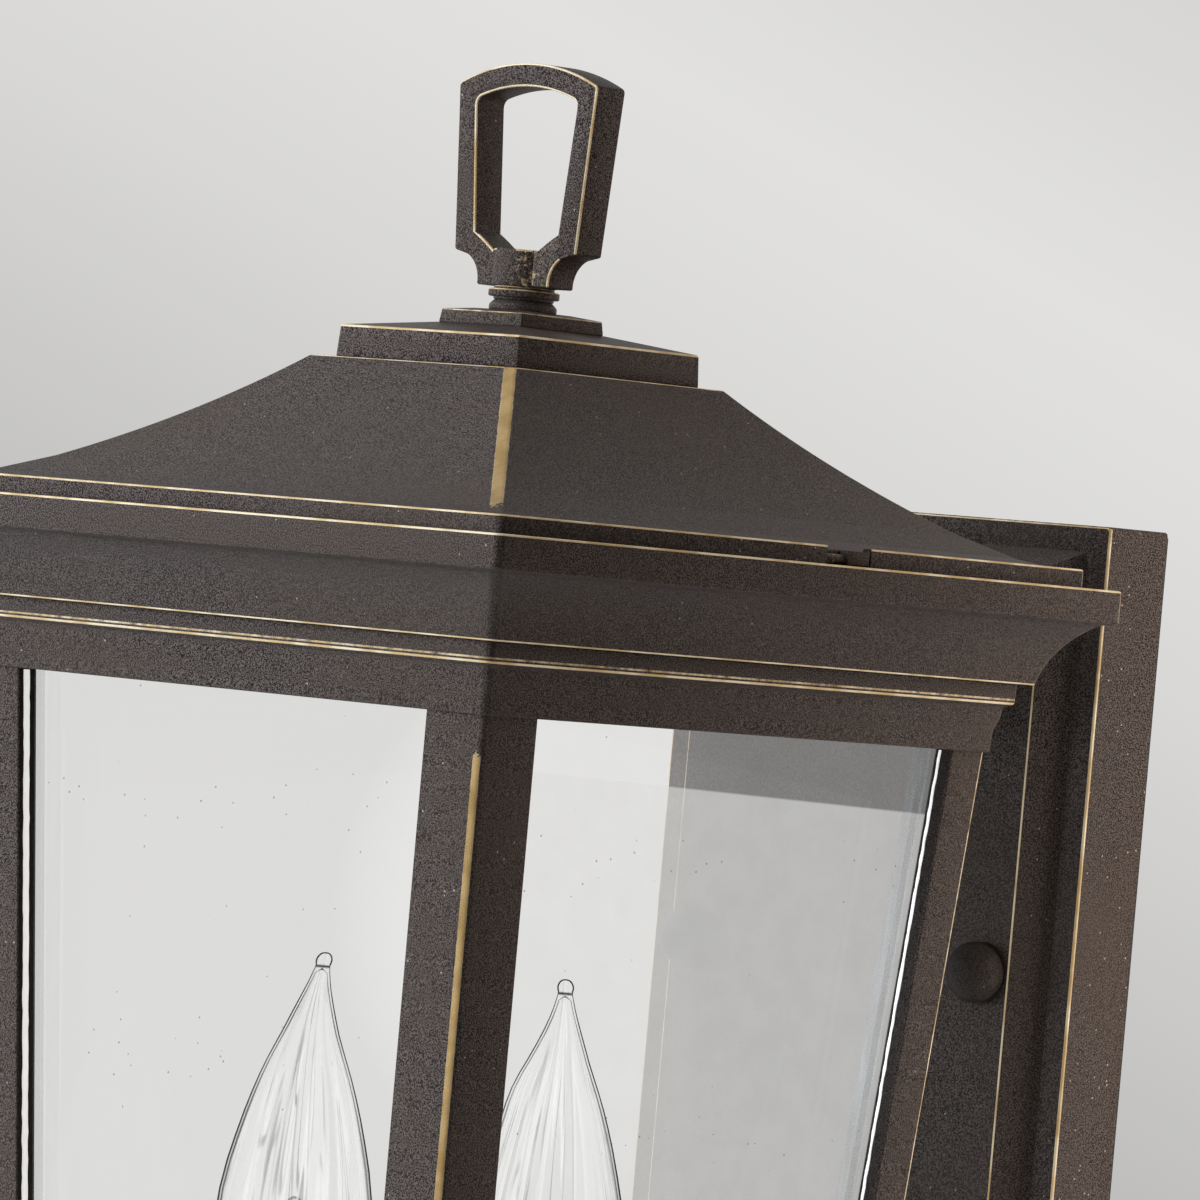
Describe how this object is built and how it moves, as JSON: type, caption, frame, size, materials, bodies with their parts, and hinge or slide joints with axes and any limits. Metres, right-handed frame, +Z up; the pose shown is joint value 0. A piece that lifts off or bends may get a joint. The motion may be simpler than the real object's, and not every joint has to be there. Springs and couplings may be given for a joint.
{
  "type": "outdoor wall lantern",
  "caption": "Square tapered outdoor wall lantern with hipped roof, loop finial, clear panes and flame-shaped lamps on a raised-panel wall plate.",
  "frame": {"origin": "on the wall plane, at the centre of the outlet box and of the strap's slots", "axes": "+Z up, -Y out from the wall towards the viewer, +X to the right seen from the front"},
  "size_m": [0.192, 0.2415, 0.4382],
  "materials": {
    "bronze_finish": "oil-rubbed dark bronze paint, satin, worn to gold at edges",
    "clear_pane": "clear flat glass",
    "lamp_glass": "thick clear blown glass",
    "zinc_steel": "zinc plated",
    "clear_silicone": "clear glazing silicone",
    "black_rubber": "matt",
    "socket_black": "moulded phenolic",
    "candle_bronze": "dark bronze paint",
    "lamp_cap_brass": "bright",
    "filament_wire": "drawn wire",
    "ground_green": "green dyed zinc",
    "lead_insulation": "wire insulation",
    "wire_cap_plastic": "moulded"
  },
  "bodies": {
    "fixture": {"crown": "bronze_finish", "top_rail": "bronze_finish", "post_front_left": "bronze_finish", "post_front_right": "bronze_finish", "post_rear_left": "bronze_finish", "post_rear_right": "bronze_finish", "pane_front": "clear_pane", "pane_left": "clear_pane", "pane_rear": "clear_pane", "pane_right": "clear_pane", "glazing_beads": "clear_silicone", "foot_frame": "bronze_finish", "tray": "bronze_finish", "base_step_large": "bronze_finish", "base_step_small": "bronze_finish", "cross_bar": "zinc_steel", "cross_bar_screws": "zinc_steel", "roof_stud": "zinc_steel", "stud_nuts": "zinc_steel", "nipple": "zinc_steel", "nipple_nuts": "zinc_steel", "cluster_bar": "zinc_steel", "lamp_socket_left": "socket_black", "lamp_socket_right": "socket_black", "candle_sleeve_left": "candle_bronze", "candle_sleeve_right": "candle_bronze", "wall_plate": "bronze_finish", "wall_gasket": "black_rubber", "mounting_strap": "zinc_steel", "ground_screw": "ground_green", "fixing_studs": "zinc_steel", "stud_lock_nuts": "zinc_steel", "arm": "bronze_finish", "arm_screws": "zinc_steel", "supply_leads": "lead_insulation", "wire_caps": "wire_cap_plastic"},
    "roof": {"roof": "bronze_finish", "roof_catches": "bronze_finish", "roof_cap_large": "bronze_finish", "roof_cap_small": "bronze_finish", "finial_washer": "bronze_finish"},
    "finial": {"finial_collar": "bronze_finish", "finial_loop": "bronze_finish"},
    "lamp_left": {"lamp_glass_left": "lamp_glass", "lamp_base_left": "lamp_cap_brass", "lamp_filament_left": "filament_wire"},
    "lamp_right": {"lamp_glass_right": "lamp_glass", "lamp_base_right": "lamp_cap_brass", "lamp_filament_right": "filament_wire"},
    "cap_nut_left": {"cap_nut_left": "bronze_finish"},
    "cap_nut_right": {"cap_nut_right": "bronze_finish"},
    "drop_finial": {"drop_finial": "bronze_finish"}
  },
  "joints": [
    {"name": "roof_lift", "type": "slide", "parent": "fixture", "child": "roof", "axis": [0, 0, 1], "range_m": [0, 0.12]},
    {"name": "finial_screw", "type": "hinge", "parent": "roof", "child": "finial", "pos_m": [0, -0.1455, 0.145], "axis": [0, 0, 1], "continuous": true},
    {"name": "lamp_left_screw", "type": "hinge", "parent": "fixture", "child": "lamp_left", "pos_m": [-0.03392, -0.15755, -0.09], "axis": [0, 0, 1], "continuous": true},
    {"name": "lamp_right_screw", "type": "hinge", "parent": "fixture", "child": "lamp_right", "pos_m": [0.02692, -0.14045, -0.09], "axis": [0, 0, 1], "continuous": true},
    {"name": "cap_nut_left_screw", "type": "hinge", "parent": "fixture", "child": "cap_nut_left", "pos_m": [-0.04445, -0.03, 0], "axis": [0, 1, 0], "continuous": true},
    {"name": "cap_nut_right_screw", "type": "hinge", "parent": "fixture", "child": "cap_nut_right", "pos_m": [0.04445, -0.03, 0], "axis": [0, 1, 0], "continuous": true},
    {"name": "drop_finial_screw", "type": "hinge", "parent": "fixture", "child": "drop_finial", "pos_m": [0, -0.1455, -0.23], "axis": [0, 0, 1], "continuous": true}
  ]
}
